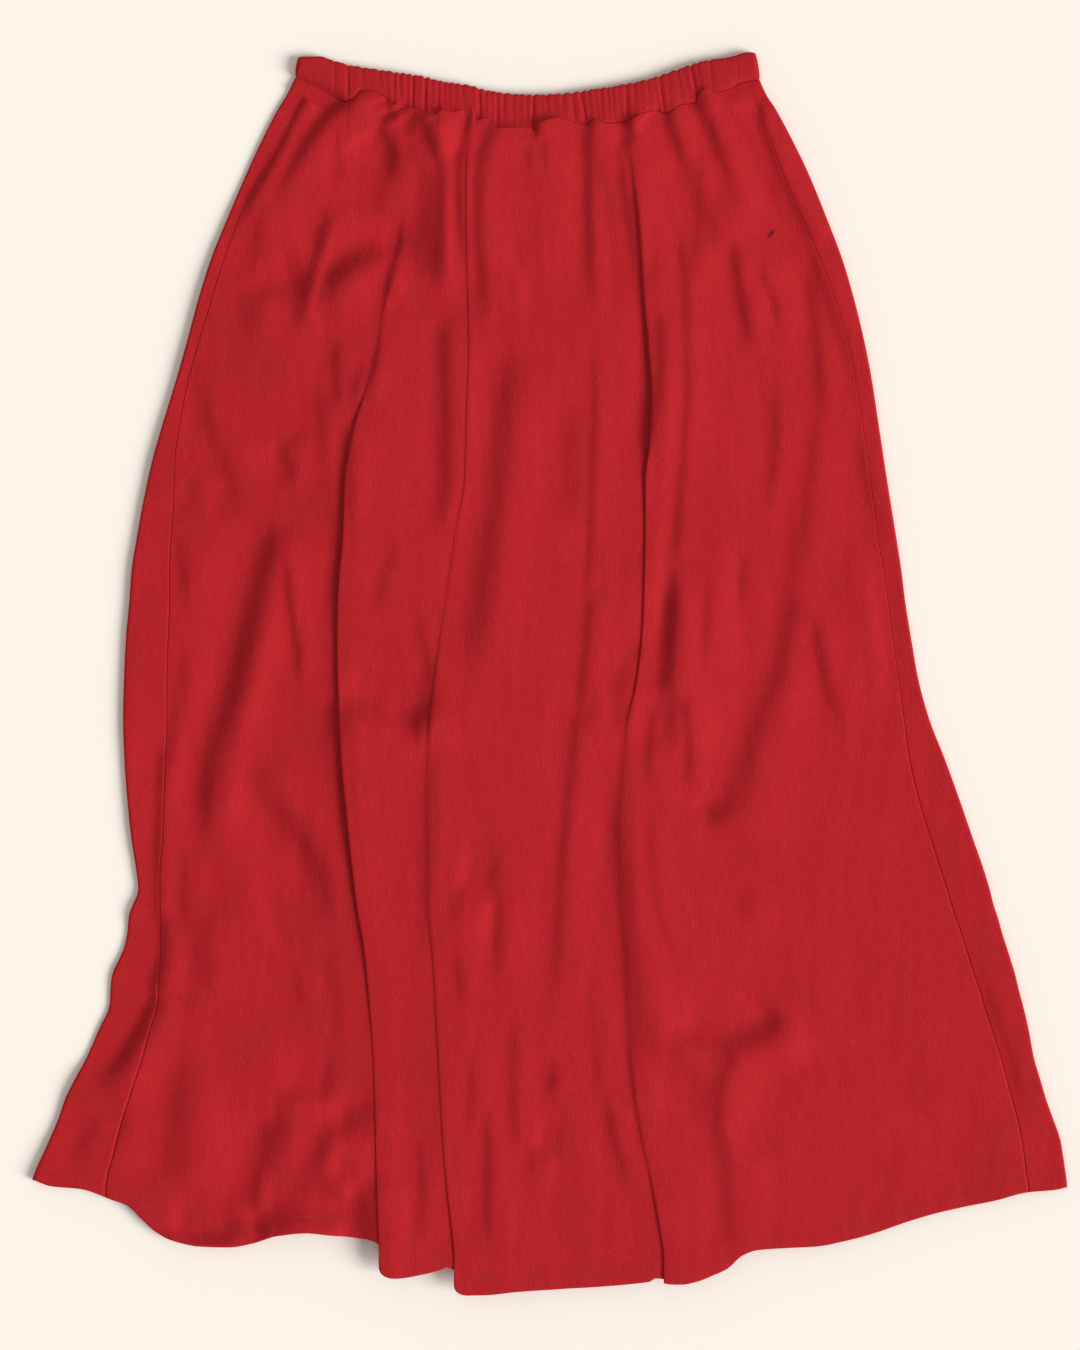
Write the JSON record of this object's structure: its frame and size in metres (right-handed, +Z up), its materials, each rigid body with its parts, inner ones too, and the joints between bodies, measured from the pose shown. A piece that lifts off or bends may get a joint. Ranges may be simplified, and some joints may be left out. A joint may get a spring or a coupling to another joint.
{
  "type": "gathered midi skirt laid flat",
  "caption": "Elastic-waist linen midi skirt, gathered at the waistband and flared to a turned hem, laid flat on its back panel.",
  "frame": {"origin": "centre of the laid skirt's footprint, on the surface that it rests on", "axes": "+Y from the hem to the waistband, along the skirt's length; +X to the right as seen from above; +Z up, out of the front panel"},
  "size_m": [0.7648, 0.9138, 0.0173],
  "materials": {
    "red_linen": "matt plain-weave linen with slubs",
    "red_linen_band": "matt plain-weave linen, gathered over elastic"
  },
  "bodies": {
    "root": {"skirt_front": "red_linen", "skirt_back": "red_linen", "waistband": "red_linen_band"}
  },
  "joints": []
}
